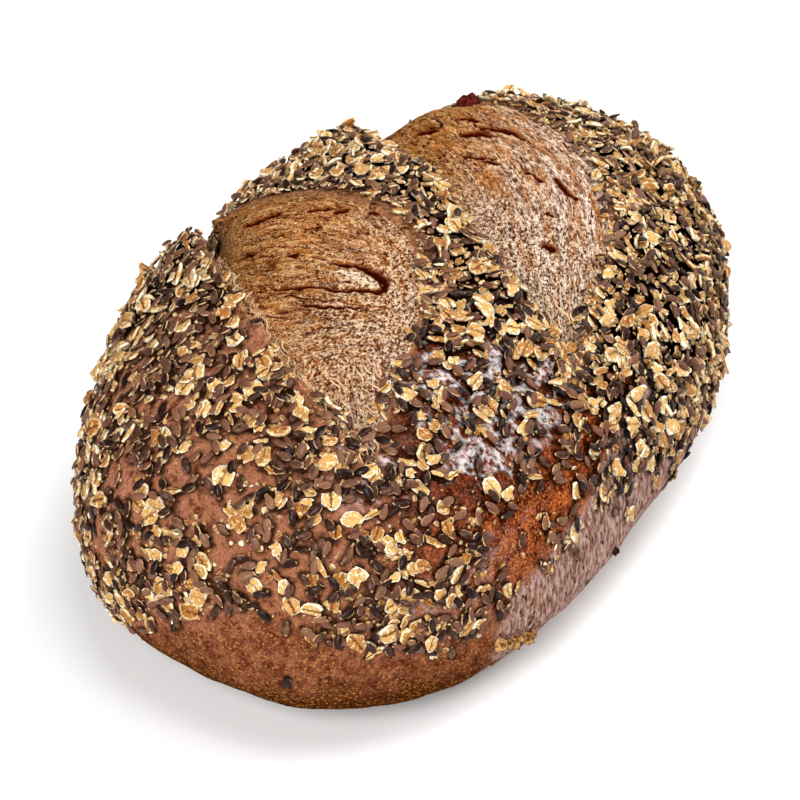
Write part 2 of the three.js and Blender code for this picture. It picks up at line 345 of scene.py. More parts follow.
class Finish:
    """A material built from expressions. What is the same all over is set on the shader's own sockets.
    Sizes are in millimetres, and colours are given as seen on a screen, from 0 to 255."""

    def __init__(self, name, constants):
        self.material = bpy.data.materials.new(name)
        self.material.use_nodes = True
        self.tree = self.material.node_tree
        self.shader = self.tree.nodes["Principled BSDF"]
        for socket, value in constants.items():
            self.shader.inputs[socket].default_value = value
        self.place = self.node("ShaderNodeTexCoord", output="Object")

    def node(self, kind, settings=None, sockets=None, output=0):
        node = self.tree.nodes.new(kind)
        for name, value in (settings or {}).items():
            setattr(node, name, value)
        for name, value in (sockets or {}).items():
            if isinstance(value, Link):
                self.tree.links.new(value.socket, node.inputs[name])
            else:
                node.inputs[name].default_value = value
        return Link(self, node.outputs[output])

    def feed(self, socket, value):
        self.tree.links.new(value.socket, self.shader.inputs[socket])

    def noise(self, size, detail=2.0, roughness=0.5, stretch=(1, 1, 1), place=None):
        """Noise from 0 to 1 with features of this size, drawn out where stretch is small."""
        place = place or self.place
        if stretch != (1, 1, 1):
            place = self.node("ShaderNodeMapping", None, {"Vector": place, "Scale": stretch})
        sockets = {"Vector": place, "Scale": 1 / (size * METRES), "Detail": detail, "Roughness": roughness}
        return self.node("ShaderNodeTexNoise", None, sockets)

    def specks(self, size, share):
        """Round specks of this size, in this share of the cells they lie in."""
        sockets = {"Vector": self.place, "Scale": 1 / (size * 2 * METRES)}
        distance = self.node("ShaderNodeTexVoronoi", None, sockets, "Distance")
        chance = self.node("ShaderNodeTexVoronoi", None, sockets, "Color")
        chance = self.node("ShaderNodeSeparateColor", None, {"Color": chance}, "Red")
        return (1 - distance.between(0.2, 0.42)) * chance.between(1 - share, 1.001 - share)

    def mix(self, share, first, second):
        """Colour that goes from the first to the second as share goes from 0 to 1."""
        sockets = {"Factor": share, 6: shader_colour(first), 7: shader_colour(second)}
        return self.node("ShaderNodeMix", {"data_type": "RGBA"}, sockets, 2)

    def cover(self, base, *layers):
        """A base colour with others laid over it in turn, each given as its share and its colour."""
        for share, over in layers:
            base = self.mix(share, base, over)
        return base

    def stored(self, name):
        """The four numbers that a mesh keeps for each vertex."""
        settings = {"attribute_type": "GEOMETRY", "attribute_name": name}
        sockets = {"Color": self.node("ShaderNodeAttribute", settings, output="Color")}
        red_green_blue = [self.node("ShaderNodeSeparateColor", None, sockets, part) for part in range(3)]
        return *red_green_blue, self.node("ShaderNodeAttribute", settings, output="Alpha")

    def complete(self, base, roughness, relief, depth):
        """Feeds the colour, the roughness and a relief of this depth."""
        sockets = {"Height": relief, "Strength": 1.0, "Distance": depth * METRES}
        self.feed("Base Color", base)
        self.feed("Roughness", roughness)
        self.feed("Normal", self.node("ShaderNodeBump", None, sockets))
        return self.material


def shader_colour(value):
    """A colour as seen on a screen, as a shader takes it. A link stays as it is."""
    if isinstance(value, Link):
        return value
    seen = np.array(value) / 255
    linear = np.where(seen <= 0.04045, seen / 12.92, ((seen + 0.055) / 1.055) ** 2.4)
    return *linear.tolist(), 1.0


def crust_finish():
    finish = Finish("baked_crust", {"Specular IOR Level": 0, "Coat Roughness": 0.12, "Coat IOR": 2.4})
    gloss, gold, bare, shade = finish.stored("zones")
    flank, wetness, left_sheen, deep = finish.stored("skin")
    patches = finish.noise(4, 3, 0.6)
    grain = finish.noise(1.5, 3, 0.65)
    fine = finish.noise(0.8, 2, 0.7)
    wander = finish.noise(16, 3) * 0.5 - 0.25
    mottle = patches.between(0.35, 0.65)
    red = finish.mix(
        mottle, finish.mix(deep, (90, 25, 9), (46, 9, 4)), finish.mix(deep, (162, 77, 36), (118, 46, 22))
    )
    band = gold.between(0.8, 1) * (1 - bare)
    # pale salmon patches: partly the crust's own tone, partly a painted sheen, strongest on the left side
    salmon_and_sheen = (1 - bare) * (1 - gloss) * (0.5 + left_sheen * 0.3) * patches.between(0.3, 0.55)
    wrinkles = finish.noise(1.1, 3, 0.6, (1, 1, 0.3))
    pits = finish.noise(1.5, 1, 0.5, (1, 1, 0.45)).between(0.34, 0.27)
    flank = (flank + wander).between(0.2, 0.8)
    # the flank's greyish skin, lighter on its wrinkles' ridges: partly the crust's own colour, partly a
    # painted sheen
    skin = finish.cover(
        finish.mix(wrinkles.between(0.38, 0.62), (122, 84, 70), (208, 174, 162)),
        (patches.between(0.5, 0.7) * 0.4, (162, 100, 62)),
        (pits, (34, 13, 8)),
    )
    base = finish.cover(
        finish.mix(mottle, (116, 58, 38), (166, 104, 72)),
        ((gold + wander).between(0.1, 0.7), finish.mix(mottle, (54, 20, 3), (100, 48, 13))),
        ((gloss + wander).between(0.25, 0.75), red),
        (grain.between(0.5, 0.32) * 0.7, (36, 9, 2)),
        (
            fine.between(0.52, 0.64) * (0.55 - bare * 0.25) * (1 - deep * 0.6),
            finish.mix(gloss, (206, 138, 82), (230, 146, 80)),
        ),
        (fine.between(0.46, 0.34) * (0.65 - bare * 0.3), (40, 11, 3)),
        (bare * gold * 0.7, (58, 22, 2)),
        (band * patches.between(0.2, 0.6) * 0.6, (186, 126, 80)),
        (band * grain.between(0.5, 0.62) * 0.7, (222, 170, 112)),
        (band * grain.between(0.47, 0.36) * 0.7, (74, 28, 8)),
        (finish.specks(0.5, 0.4) * (0.2 + bare * (0.3 + gold * 0.5)) * 0.75, (228, 158, 80)),
        (finish.specks(1.1, 0.3) * bare * gold * 0.6, (202, 130, 68)),
        (salmon_and_sheen, (184, 122, 92)),
        (flank * 0.9, skin),
        (shade, (12, 3, 1)),
    )
    wet = finish.noise(1.8, 2, 0.6, (1, 0.6, 1)) * 0.65 + grain * 0.35
    finish.feed("Coat Weight", gloss * wetness * wet.between(0.4, 0.64) * (1 - shade))
    relief = patches * 2.4 + grain * 1.4 + fine * 0.25 + wrinkles * flank * 1.5 - pits * flank
    return finish.complete(base, 0.62 + fine * 0.2, relief, 1.8)


def torn_finish():
    finish = Finish("torn_crumb", {"Specular IOR Level": 0, "Coat Roughness": 0.2, "Coat IOR": 1.6})
    ridge, turn, pale, hole = finish.stored("tear")
    relief = streak = fibre = 0.0
    for name, share in (("streak_way", 1 - turn), ("edge_way", turn)):
        way = finish.node("ShaderNodeAttribute", {"attribute_name": name}, output="Vector")
        lace = finish.noise(0.66, 2, 0.6, (0.3, 1, 1), way)
        thread = finish.noise(0.38, 2, 0.6, (0.3, 1, 1), way)
        strings = 1 - (lace - 0.5).absolute() * 7
        relief += (strings * 0.35 + lace * 0.3 + thread * 0.5) * share
        streak += finish.noise(3.2, 3, 0.6, (0.22, 1, 1), way) * share
        fibre += strings * share
    height = ridge * 0.7 + relief + finish.noise(8, 3) * 0.3 - 0.5
    grit = finish.noise(1.0, 2, 0.6)
    length = finish.node("ShaderNodeSeparateXYZ", None, {"Vector": finish.place}, "X")
    first_slash = length.between(*FIRST_SLASH_FADE)
    gritty = pale.between(0, 0.3) * (0.1 + first_slash)
    dots = grit.between(0.4, 0.3) * (0.6 - pale * 0.3) * (0.6 + first_slash * 0.4)
    # painted glints: pinkish-white flecks along the streaks where the dough is pale
    painted_glint = streak.between(0.54, 0.42) * pale * fibre.between(0.3, 0.9) * height.between(0.5, 0.7)
    flecks = finish.specks(0.55, 0.5) * height.between(0.34, 0.6) * fibre.between(0, 0.4)
    # the gapes of the tears and of the torn layers: their dark red is painted shade in the gaps
    painted_gape_shade = hole + relief * 0.5 - 0.25
    # the crumb darkens towards the hollows of its relief and pales on its ridges: partly its own tones,
    # partly painted shade in the hollows
    base = finish.cover(
        finish.mix(pale, (66, 18, 2), (88, 38, 18)),
        (height.between(0.36, 0.52), finish.mix(pale, (152, 92, 42), (158, 108, 70))),
        (height.between(0.54, 0.84), finish.mix(pale, (228, 174, 112), (250, 228, 200))),
        # painted sheen: a pale pink veil along the streaks where the dough is pale
        (streak.between(0.6, 0.4) * pale * height.between(0.3, 0.5) * 0.25, (232, 206, 190)),
        (streak.between(0.5, 0.62) * 0.5, (188, 112, 46)),
        (painted_glint * 0.4, (255, 236, 222)),
        (flecks * (0.6 + pale * 0.25) * (0.5 + first_slash * 0.5), (250, 224, 184)),
        (dots, finish.mix(pale, (84, 30, 6), (104, 50, 26))),
        (grit.between(0.48, 0.38) * gritty * 0.85, (74, 27, 9)),
        (grit.between(0.53, 0.62) * gritty * 0.55, (250, 226, 188)),
        (painted_gape_shade.between(0.1, 0.4) * 0.8, (124, 54, 14)),
        (painted_gape_shade.between(0.35, 0.75), (62, 13, 3)),
    )
    finish.feed("Coat Weight", pale * relief.between(0.5, 0.7) * 0.5 * (1 - painted_gape_shade.between(0.1, 0.3)))
    return finish.complete(base, 0.6 + relief * 0.2, relief, 0.9)


def string_finish():
    finish = Finish("torn_string", {"Specular IOR Level": 0.2})
    tone, _, _, above_painted_shade = finish.stored("grain")
    mottle = finish.noise(1.0, 3, 0.6)
    base = finish.mix((tone + mottle * 1.4).between(0.6, 1.4), (150, 98, 56), (220, 184, 142))
    # painted shade: the string is darker where it lies close to the torn face
    base = finish.mix((1 - above_painted_shade) * 0.75, base, (84, 36, 10))
    return finish.complete(base, 0.55 + mottle * 0.2, mottle, 0.3)


def grain_place(finish):
    """What a grain keeps: its random tone, the hue drawn from it, its own two coordinates from -1 to 1, how
    far out they lie, and how clear of the crust it stands, which fades the painted shade at its base."""
    tone, along, across, above_painted_shade = finish.stored("grain")
    along, across = along * 2 - 1, across * 2 - 1
    return tone, (tone * 7.3).fraction(), along, across, (along * along + across * across) ** 0.5, above_painted_shade


def flake_finish():
    finish = Finish("oat_flake", {"Specular IOR Level": 0.05})
    tone, toast, _, across, out, above_painted_shade = grain_place(finish)
    mottle = finish.noise(1.1, 3, 0.6)
    fine = finish.noise(0.45, 3, 0.7)
    wave = mottle * 0.8 - 0.4
    rim = (out + wave * 0.9).between(0.7, 0.94)
    edge = finish.mix(toast, (255, 248, 222), (240, 204, 146))
    cleft = (across + wave).absolute().between(0.2, 0.05) * (1 - rim) * (tone * 3.1).fraction()
    base = finish.cover(
        finish.mix(toast, (224, 178, 106), (158, 96, 42)),
        (rim, edge),
        (mottle.between(0.52, 0.66) * 0.75, edge),
        (cleft, (76, 36, 10)),
        (fine.between(0.46, 0.34) * 0.8, (96, 48, 16)),
        # painted shade at the flake's base, where it meets the crust
        ((1 - above_painted_shade) * 0.95, (30, 9, 2)),
    )
    relief = mottle * 0.8 + fine * 0.4 + rim * 0.5 - cleft * 0.4
    return finish.complete(base, 0.65 + fine * 0.25, relief, 0.6)


def linseed_finish():
    finish = Finish("linseed", {"Specular IOR Level": 0.05, "Coat Roughness": 0.22, "Coat Weight": 0.18})
    tone, hue, along, across, out, above_painted_shade = grain_place(finish)
    mottle = finish.noise(1.2, 3, 0.6)
    light = finish.mix(hue, (102, 62, 48), (124, 86, 62))
    # a pale rim along one side of each seed: a painted highlight
    rim = out.between(0.78, 0.92) * (across + along * 0.5).between(-0.2, 0.4)
    base = finish.cover(
        finish.mix(hue, (24, 8, 6), (40, 20, 11)),
        ((tone * 0.7 + mottle * 0.8).between(0.44, 1.08), light),
        (rim * 0.85, (214, 172, 126)),
        # painted shade at the seed's base, where it meets the crust
        ((1 - above_painted_shade) * 0.95, (6, 2, 1)),
    )
    return finish.complete(base, 0.4 + mottle * 0.25, mottle, 0.15)


def lump_finish():
    finish = Finish("lump", {"Specular IOR Level": 0.05})
    pale = finish.stored("grain")[0]
    mottle = finish.noise(1.4, 3, 0.6)
    steps = pale.between(0, 0.3), pale.between(0.3, 0.6), pale.between(0.6, 1)
    dark, light = (finish.cover(tones[0], *zip(steps, tones[1:])) for tones in LUMP_TONES)
    base = finish.mix(mottle.between(0.4, 0.6), dark, light)
    return finish.complete(base, 0.5 + mottle * 0.2, mottle, 0.6)


# The crust

CRUST_DETAIL = 6  # how often the starting solid's faces are halved
UPPER_CUTS = 2  # each edge above the tuck is cut this often
UPPER_FROM = -0.35  # vertical part of the direction from which the crust is fine
EDGE_BAND = 2.6  # the crust is finest this close to a torn edge
BREAK_WIDTH = 0.9  # the crust breaks off over this distance
SUNK = 2.4  # under a torn face the crust lies this far below it
OVERHANG = 1.6  # the coating reaches this far over the right edge of a torn face
FOOT_OVERHANG = 4.5  # and this far over its edges near its foot
FOOT_SHARES = (0.2, 0.1)
LEFT_MARGIN = 0.4
RAGGED = ((7, 1.1), (2.2, 0.5))  # size and depth of the broken edge's bays
UNEVEN = ((30, 0.9), (12, 0.45), (5, 0.22), (2.6, 0.14))  # size and height of the crust's bumps
WRINKLE_SIZE = 2.6
WRINKLE_HEIGHT = 0.35
WRINKLE_STRETCH = (1, 1, 0.2)  # the wrinkles of the flank run upwards
BASE_FLAT = 3  # the bumps fade out over this height above the table
# The flank, painted greyish partly as a painted sheen: where it begins and ends along X, where it begins
# across, and its upper edge, which has a height at a place on X and rises along X
FLANK_START = (-98, -78)
FLANK_END = (110, 80)
FLANK_SIDE = (-48, -66)
FLANK_EDGE = (50, -70, 0.3)
FLANK_FADE = (5, -7)  # it fades in between these heights above its edge


def flank_share(points):
    """1 on the right flank, where the bare crust is wrinkled and painted greyish, partly as a painted sheen.
    """
    x, y, z = points.T
    height, place, rise = FLANK_EDGE
    lengthwise = smooth(*FLANK_START, x) * smooth(*FLANK_END, x)
    return lengthwise * smooth(*FLANK_SIDE, y) * smooth(*FLANK_FADE, z - height - rise * (x - place))


def ragged_outside(slash, points):
    """Distance outside the torn face, with the bays of the broken crust."""
    share, offset = slash.place(points)
    distance = slash.outside(share, offset)
    for seed, (size, depth) in enumerate(RAGGED):
        distance = distance + depth * noise_at(points, size, seed + 5)
    return share, offset, distance


def fine_ball():
    """A ball of small triangles, smaller on its upper side and smallest along the torn edges."""
    bm = bmesh.new()
    bmesh.ops.create_icosphere(bm, subdivisions=CRUST_DETAIL, radius=1)
    upper = [edge for edge in bm.edges if all(vert.co.z > UPPER_FROM for vert in edge.verts)]
    bmesh.ops.subdivide_edges(bm, edges=upper, cuts=UPPER_CUTS, use_grid_fill=True)
    directions = unit(np.array([vert.co for vert in bm.verts]))
    points, _ = crust_points(directions)
    near = np.zeros(len(points), bool)
    for slash in SLASHES:
        near |= np.abs(slash.distance(points)) < EDGE_BAND
    near &= directions[:, 2] > 0
    bm.verts.ensure_lookup_table()
    bm.verts.index_update()
    edges = [edge for edge in bm.edges if near[edge.verts[0].index] and near[edge.verts[1].index]]
    bmesh.ops.subdivide_edges(bm, edges=edges, cuts=1, use_grid_fill=True)
    bmesh.ops.triangulate(bm, faces=bm.faces)
    return mesh_from("crust", bm)


def build_crust():
    """The crust's mesh, its points, where the coating finds it, and where the slashes may open it."""
    mesh = fine_ball()
    directions = unit(positions(mesh))
    plain, normals = crust_points(directions)
    upper_side = smooth(*SLASH_STEEP, normals[:, 2])
    above = np.zeros(len(plain))
    for seed, (size, height) in enumerate(UNEVEN):
        above += height * noise_at(plain, size, seed + 20)
    above += WRINKLE_HEIGHT * noise_at(plain * WRINKLE_STRETCH, WRINKLE_SIZE, 26) * flank_share(plain)
    above *= smooth(0, BASE_FLAT, plain[:, 2])
    coated_above = above.copy()
    for slash in SLASHES:
        share, offset, distance = ragged_outside(slash, plain)
        left, _ = slash.widths(share)
        lip = slash.lip_height(share, np.maximum(-offset - left, 0)) * (offset < 0)
        lip = np.where(slash.lip < 0, lip, lip * (distance > -BREAK_WIDTH))
        depth = slash.torn_depth(share, slash.across(share, offset))
        inside = smooth(BREAK_WIDTH / 2, -BREAK_WIDTH / 2, distance)
        above += (lip * (1 - inside) - (depth + SUNK) * inside) * upper_side
        coated_above += (lip - depth * smooth(-0.5, -3, slash.outside(share, offset))) * upper_side
    points, _ = crust_points(directions, above)
    points[:, 2] = np.maximum(points[:, 2], 0)
    coated_points, _ = crust_points(directions, coated_above)
    return mesh, points, coated_points, upper_side


# The torn faces

TORN_MARGIN = 3.5  # the torn face runs on this far under the crust
TORN_DIVE = 1.6  # it dives by this much there
SHALLOW_DIVE = 0.8  # and by this much more where the slash is narrow
SLAB_DEPTH = 6  # thickness of the torn face's piece
STREAKS_BEND = 70  # the streaks draw together over this distance, by the next share at most
STREAKS_CLOSEST = 0.4
TURNS_AT_FOOT = (0.3, 0.12)  # near its foot the dough's strings turn to follow the edges
TURNS_AT_LEFT = (0.14, 0.04)  # near its left edge too, but not near its head
TURNS_BELOW_HEAD = (0.9, 0.6)
LAYER = 8  # width of the torn layers
BANDS = (8, 1.6)  # length and width of the bands, strings and pits of the torn dough
STRINGS_RELIEF = (3, 1.1)
PITS = (2.4, 1.1)
LEDGE = -0.55  # a tear whose depth is less than this is a ledge of cream dough
# For each torn face: its steps along and across, the middle of its streaks, where across it they turn to
# follow the edges, where along it the dough grows pale, and how short its strings are, both ways
TORN_LAYOUTS = (
    ((520, 170), (-20, 20), (0.64, 0.9), (0.5, 1.5), (2, 1)),
    ((540, 165), (70, 10), (-0.1, 0.3), (0.45, 0.85), (1, 0.45)),
)

# Tears in the torn faces: a depth, and a path on the plan with half the width at each place. What has a
# negative depth stands up.
TEARS = [
    [
        (2.1, (
            (-26.8, 13.5, 0.7), (-25.8, 10, 0.9), (-24.8, 6, 1.2), (-26, -0.6, 1.7), (-28, -4, 1.6),
            (-31.6, -5.6, 1.1),
        )),
        (-0.6, ((-30.5, 9.3, 1.4), (-30.2, 3.5, 2.4), (-31.8, -1.7, 2.4))),
        (0.8, ((-41.1, 32.3, 0.3), (-39.7, 17.4, 0.5), (-38.2, 5, 0.6), (-33.5, -5.2, 1.1))),
        (-0.5, ((-39.6, 24, 0.4), (-37.6, 14, 0.9), (-36.2, 6, 0.8))),
        (1.1, ((-4.1, 55.5, 0.7), (-5.5, 51.4, 0.7), (-4.7, 47.8, 1.2), (-1.5, 44.2, 1.1))),
        (1.1, ((-22.2, 48.3, 0.9), (-21.1, 46.3, 1.2), (-22.4, 43.2, 0.7))),
        (1.0, ((-25.9, 28, 0.7), (-24.9, 26.1, 0.9))),
        (0.6, ((-16.8, 37.3, 0.5), (-15.7, 35.7, 0.7))),
        (0.6, ((-11, 29.1, 0.5), (-9.9, 26.3, 0.7))),
        (1.0, ((1, 34.8, 0.7), (2.4, 30.2, 1.2))),
        (1.0, ((1.2, 25.6, 1.2), (2.6, 23.8, 1.2))),
        (0.8, ((3, 15.3, 0.9), (3.1, 13.6, 0.9))),
        (0.5, ((-47, 14.2, 0.3), (-47.4, 6.9, 0.4), (-45, 0.5, 0.4), (-42.8, -3.8, 0.3))),
    ],
    [
        (1.5, ((75.9, 14.8, 0.7), (76.3, 11.3, 1.2), (76.6, 7.9, 1.6), (76.6, 4.4, 1.8), (73.9, -1.4, 0.8))),
        (1.4, ((69.5, 17.7, 0.8), (70, 15.2, 1.8), (71.5, 12, 1.9), (70.8, 8.1, 0.9))),
        (1.4, ((72.3, 33, 1.8), (72.7, 30.6, 2.0), (71.7, 28.5, 1.1))),
        (0.7, ((56.1, 10.6, 0.4), (56.4, 4.9, 0.8), (56.6, 0, 0.5))),
        (0.8, ((54.2, 3.9, 0.5), (54.4, -2, 0.8))),
        (1.0, ((80, 23.9, 1.1), (81.6, 21, 1.2), (80.1, 17.3, 1.1))),
        (1.4, ((19.1, -34.3, 1.4), (18.9, -36.3, 1.6))),
        (0.7, ((34.3, -27.7, 0.8), (34, -29.3, 0.8))),
        (0.6, ((50.3, -27.4, 0.5), (48.7, -30.8, 0.7))),
        (0.6, ((55.1, -20.9, 0.8), (49.2, -27.8, 1.2))),
        (0.6, ((53.4, -12.3, 0.5), (50.1, -19.1, 0.5))),
    ],
]


def torn_grid(steps):
    """A closed slab, finely divided on its upper side, from 0 to 1 along and across."""
    bm = bmesh.new()
    bmesh.ops.create_grid(bm, x_segments=steps[0], y_segments=steps[1], size=0.5)
    rim = [edge for edge in bm.edges if edge.is_boundary]
    skirt = bmesh.ops.extrude_edge_only(bm, edges=rim)["geom"]
    lower = [item for item in skirt if isinstance(item, bmesh.types.BMVert)]
    bmesh.ops.translate(bm, verts=lower, vec=(0, 0, -1))
    edges = [item for item in skirt if isinstance(item, bmesh.types.BMEdge) and item.is_boundary]
    bmesh.ops.contextual_create(bm, geom=edges)
    bmesh.ops.recalc_face_normals(bm, faces=bm.faces)
    return mesh_from("torn_face", bm)


def along_lens(points, middle):
    """Streaks across the loaf that draw together a little on both sides of a middle."""
    across, along = (points[:, :2] - middle).T
    return np.column_stack([along, across * (1 + np.minimum((along / STREAKS_BEND) ** 2, STREAKS_CLOSEST))])


def drawn_out(way, size, seed):
    """Noise in streaks of this length and width."""
    return noise_at(np.column_stack([way / size, np.zeros(len(way))]), 1, seed)


def pits_in(way, size, seed):
    """Oval pits of this length and width: 1 in their middles."""
    places = np.column_stack([way / size, np.full(len(way), seed * 3.7)])
    nearest = np.array([noise.voronoi(Vector(place))[0][0] for place in places])
    return smooth(0.5, 0.15, nearest)


def near_path(points, path):
    """1 on a path over the plan, falling to 0 beside it over the half-width given at each of its places."""
    path = np.array(path, float)
    nearest = np.full(len(points), np.inf)
    for start, end in zip(path[:-1], path[1:]):
        way = end[:2] - start[:2]
        part = np.clip((points[:, :2] - start[:2]) @ way / (way @ way), 0, 1)
        distance = np.linalg.norm(points[:, :2] - start[:2] - part[:, None] * way, axis=1)
        nearest = np.minimum(nearest, distance / (start[2] + part * (end[2] - start[2])))
    return np.exp(-(nearest**2))


def terraces(way, points, period, seed):
    """Torn layers: how far up a layer a place lies, how much of the layer is there, and its gaping edge."""
    across = way[:, 1] + 0.4 * period * noise_at(points, 2.5 * period, seed)
    across += 0.15 * period * noise_at(points, 0.6 * period, seed + 1)
    layer = np.floor(across / period)
    part = across / period - layer
    spot = np.column_stack([way[:, 0] / (2.2 * period), layer * 7.3, np.zeros(len(way))])
    presence = smooth(0.1, 0.5, noise_at(spot, 1, seed + 2))
    gape = np.exp(-(((part - 0.98) / 0.06) ** 2)) + np.exp(-((part / 0.05) ** 2))
    return part, presence, gape


def build_torn(slash, steps, middle, turning, paling, shortness, tears, seed):
    """The mesh of a torn face and its points. The mesh keeps what the finish reads."""
    mesh = torn_grid(steps)
    grid = positions(mesh)
    share, side = np.clip(grid[:, :2].T + 0.5, 0, 1)
    left, right = slash.widths(share)
    width = left + right
    offset = right + TORN_MARGIN - side * (width + 2 * TORN_MARGIN)
    directions = directions_over(slash.plan(share, offset))
    plain, normals = crust_points(directions)
    distance = slash.outside(share, offset)
    across = slash.across(share, offset)
    full = slash.fullness(share)

    streaks = along_lens(plain, middle)
    edges = np.column_stack([share * slash.length, (across - 0.5) * 0.5 * (width + width.max())])
    turn = np.maximum(smooth(*turning, across), smooth(*TURNS_AT_FOOT, share))
    turn = np.maximum(turn, smooth(*TURNS_AT_LEFT, across) * smooth(*TURNS_BELOW_HEAD, share))
    part, presence, gape = terraces(streaks, plain, LAYER, seed)
    layers = presence * (1 - turn) * (part - 0.5)
    hole = presence * (1 - turn) * gape
    bands = lace = pits = 0
    for way, weight, number in ((streaks, 1 - turn, 0), (edges, turn, 1)):
        bands = bands + weight * drawn_out(way, BANDS, seed + 6 + number)
        lace = lace + weight * (1 - 3 * np.abs(drawn_out(way, STRINGS_RELIEF, seed + 8 + number)))
        pits = pits + weight * pits_in(way, PITS, seed + 10 + number)
    relief = 0.9 * layers - 0.7 * hole + 0.4 * bands + 0.25 * lace - 0.45 * pits
    cream = 0
    bent = plain + 0.8 * np.column_stack([noise_at(plain, 2.5, 50), noise_at(plain, 2.5, 51), 0 * share])
    for depth, path in tears:
        gap = near_path(bent, path)
        relief -= depth * gap
        hole = hole + 1.2 * gap * (depth > 0)
        cream = cream + 0.85 * gap * (depth < LEDGE)
    above = relief * full * smooth(1, -2, distance) - slash.torn_depth(share, across)
    above -= TORN_DIVE * smooth(0, 2.5, distance) + SHALLOW_DIVE * (1 - full)
    above *= smooth(*SLASH_STEEP, normals[:, 2])
    above -= SLAB_DEPTH * (grid[:, 2] < -0.5)
    points, _ = crust_points(directions, above)

    ridge = 0.45 + 0.3 * bands + 0.2 * lace - 0.3 * pits + 0.2 * layers + 0.5 * cream
    pale = np.maximum(smooth(*paling, 1 - share + 0.35 * across), cream)
    store(mesh, "tear", np.column_stack([ridge, turn, pale, hole * (1 - cream)]))
    for name, way, short in zip(("streak_way", "edge_way"), (streaks, edges), shortness):
        layer = mesh.attributes.new(name, "FLOAT_VECTOR", "POINT")
        places = np.column_stack([way * (short, 1), points[:, 2]]) * METRES
        layer.data.foreach_set("vector", places.astype(np.float32).ravel())
    return mesh, points


# The coating

FLAKE_SIDES = 12
FLAKE_THICKNESS = 0.2  # as a share of the length
SLIM_FLAKE = 0.45  # width of a slim flake, as a share of a common one's
LINSEED_THICKNESS = 0.24
LINSEED_WIDTH = 0.52


def moulded(bm, move, turned=False):
    """A small shape whose vertices are moved one by one, after its poles are turned onto X."""
    if turned:
        bmesh.ops.rotate(bm, verts=bm.verts, matrix=Matrix.Rotation(math.pi / 2, 3, "Y"))
    for vert in bm.verts:
        vert.co = move(*vert.co)
    return mesh_from("shape", bm)


def linseed_shape():
    """A flat oval seed, 1 long, pointed at one end."""

    def move(x, y, z):
        slim = 1 - 0.35 * smooth(-0.1, 0.5, x)
        return x, y * LINSEED_WIDTH * slim, z * LINSEED_THICKNESS * slim

    bm = bmesh.new()
    bmesh.ops.create_uvsphere(bm, u_segments=8, v_segments=6, radius=0.5)
    return moulded(bm, move, turned=True)


def flake_shape(seed, slim=1.0):
    """A rolled oat: a thin oval plate with a ragged outline, 1 long, cupped, curled and twisted."""
    draw = random.Random(seed)
    ragged = [draw.uniform(0.74, 1.1) for _ in range(FLAKE_SIDES)]
    ragged[draw.randrange(FLAKE_SIDES)] *= draw.uniform(0.55, 0.85)
    cup, curl, twist = draw.uniform(-0.3, 0.6), draw.uniform(-0.5, 0.5), draw.uniform(-0.7, 0.7)
    width = draw.uniform(0.62, 0.95) * slim

    def move(x, y, z):
        spoke = round(math.atan2(y, x) / math.tau * FLAKE_SIDES) % FLAKE_SIDES
        plate = math.copysign(abs(2 * z) ** 0.5, z) * FLAKE_THICKNESS / 2 + draw.uniform(-0.02, 0.02)
        x, y = x * ragged[spoke], y * ragged[spoke] * width
        return x, y, plate + cup * (x * x + y * y) + curl * (x * x - y * y) + twist * x * y

    bm = bmesh.new()
    bmesh.ops.create_uvsphere(bm, u_segments=FLAKE_SIDES, v_segments=5, radius=0.5)
    return moulded(bm, move)


def crumb_shape(seed):
    """A broken bit of flake."""
    draw = random.Random(seed)

    def move(*place):
        x, y, z = (part * draw.uniform(0.7, 1.25) for part in place)
        return x, y * 0.75, z * 0.5

    bm = bmesh.new()
    bmesh.ops.create_icosphere(bm, subdivisions=1, radius=0.5)
    return moulded(bm, move)


def string_shape(seed):
    """A thin string of torn crumb, 1 long and bent."""
    draw = random.Random(seed)
    bend, sag, sway = draw.uniform(-0.5, 0.5), draw.uniform(-0.3, 0.1), draw.uniform(0, math.tau)

    def move(x, y, z):
        wave = 0.04 * math.sin(9 * x + sway)
        return x, y * 0.09 + bend * x * x + wave, z * 0.07 + sag * x * x

    bm = bmesh.new()
    bmesh.ops.create_uvsphere(bm, u_segments=6, v_segments=9, radius=0.5)
    return moulded(bm, move, turned=True)


LINSEED_SHAPES = [linseed_shape()]
FLAKE_SHAPES = [flake_shape(seed) for seed in range(9)]
FLAKE_SHAPES += [flake_shape(seed, SLIM_FLAKE) for seed in range(20, 23)]
CRUMB_SHAPES = [crumb_shape(seed) for seed in range(4)]
STRING_SHAPES = [string_shape(seed) for seed in range(6)]

# The coating's lower edge: a direction from the middle in degrees, and the height there
COATING_EDGE = (
    (0, 27), (90, 27), (129, 28), (150, 30), (158, 26), (164, 26), (169, 33), (174, 41), (181, 50),
    (191, 55), (197, 48), (207, 41), (222, 42), (231, 47), (242, 48), (257, 45), (278, 37), (298, 27),
)
# Sizes in millimetres: the least, and what chance adds at most
FLAKE_SIZE = (3.5, 3.5)
LINSEED_SIZE = (4.3, 1.1)
CRUMB_SIZE = (0.9, 2.2)
STRING_SIZE = (2.5, 5.5)
THIN_COATING_SIZE = 0.7  # flakes are larger by this where the coating is thin
# Grains for each square millimetre, where the coating is thin and where it is thick
FLAKES_FALL = (0.027, 0.085)
LINSEEDS_FALL = (0.08, 0.1)
CRUMBS_FALL = (0.07, 0.15)
FLAKES_ON_LIP = 0.4  # share of the flakes that land beside the first slash, on its upper left
FLAKES_FIRST = 0.35  # by how much of the draw flakes come before linseeds
TILT = (0.12, 0.2)  # common tilt of grains in radians, and what a thick coating adds to it
REARING = (0.06, 0.12)  # share of grains that rear up by the next angle, and what a thick coating adds
REARED = 0.9
STEEPEST_FLAKE = 1.3  # grains are tilted by this many radians at most
STEEPEST_LINSEED = 0.6
SPREAD_ON_SIDES = 0.5  # on the steep sides grains point upwards, give or take this many radians
CRUMB_TURN = 6.28  # crumbs are spun by this many radians at most
